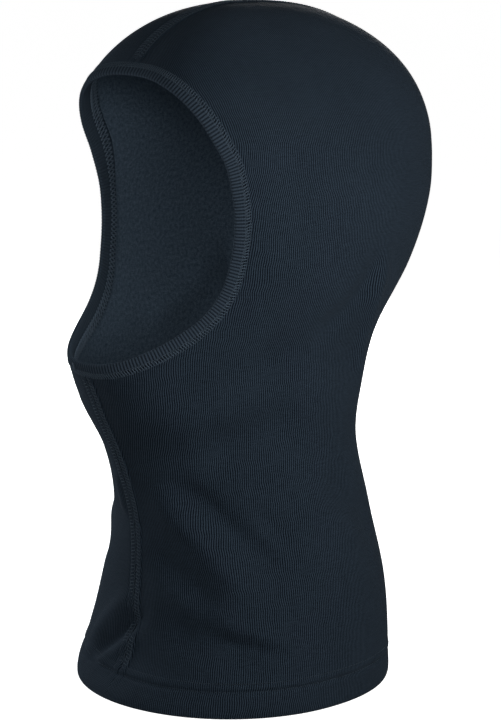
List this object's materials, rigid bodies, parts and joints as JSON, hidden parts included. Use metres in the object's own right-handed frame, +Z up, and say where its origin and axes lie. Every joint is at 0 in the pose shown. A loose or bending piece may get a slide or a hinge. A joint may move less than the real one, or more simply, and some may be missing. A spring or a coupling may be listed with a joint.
{
  "type": "balaclava",
  "caption": "Close-fitting knit balaclava with a bound oval face opening, flatlocked centre seam, long neck and turned-up hem.",
  "frame": {"origin": "centre of the bounding box at the level of the hem, which the hood stands on", "axes": "+Z up from the hem to the crown, -Y the way the face looks, +X the wearer's left"},
  "size_m": [0.18, 0.237, 0.3891],
  "materials": {
    "knit": "fine-gauge stretch knit, smooth outside and brushed inside",
    "rib": "rib knit, doubled",
    "thread": "textured polyester thread",
    "label": "smooth woven tape"
  },
  "bodies": {
    "hood": {"left_side_panel": "knit", "right_side_panel": "knit", "face_binding": "rib", "binding_bartack": "thread", "face_inner_needle_thread": "thread", "face_outer_needle_thread": "thread", "face_cover_thread": "thread", "face_looper_thread": "thread", "crown_left_needle_thread": "thread", "crown_right_needle_thread": "thread", "crown_cover_thread": "thread", "crown_looper_thread": "thread", "front_left_needle_thread": "thread", "front_right_needle_thread": "thread", "front_cover_thread": "thread", "front_looper_thread": "thread", "hem_upper_needle_thread": "thread", "hem_lower_needle_thread": "thread", "hem_looper_thread": "thread", "care_label_anchor": "label", "care_label_stitching": "thread"},
    "care_label": {"care_label": "label"}
  },
  "joints": [
    {"name": "care_label_swing", "type": "hinge", "parent": "hood", "child": "care_label", "pos_m": [0, 0.06155, 0.092], "axis": [1, 0, 0], "range_deg": [-150, 0]}
  ]
}
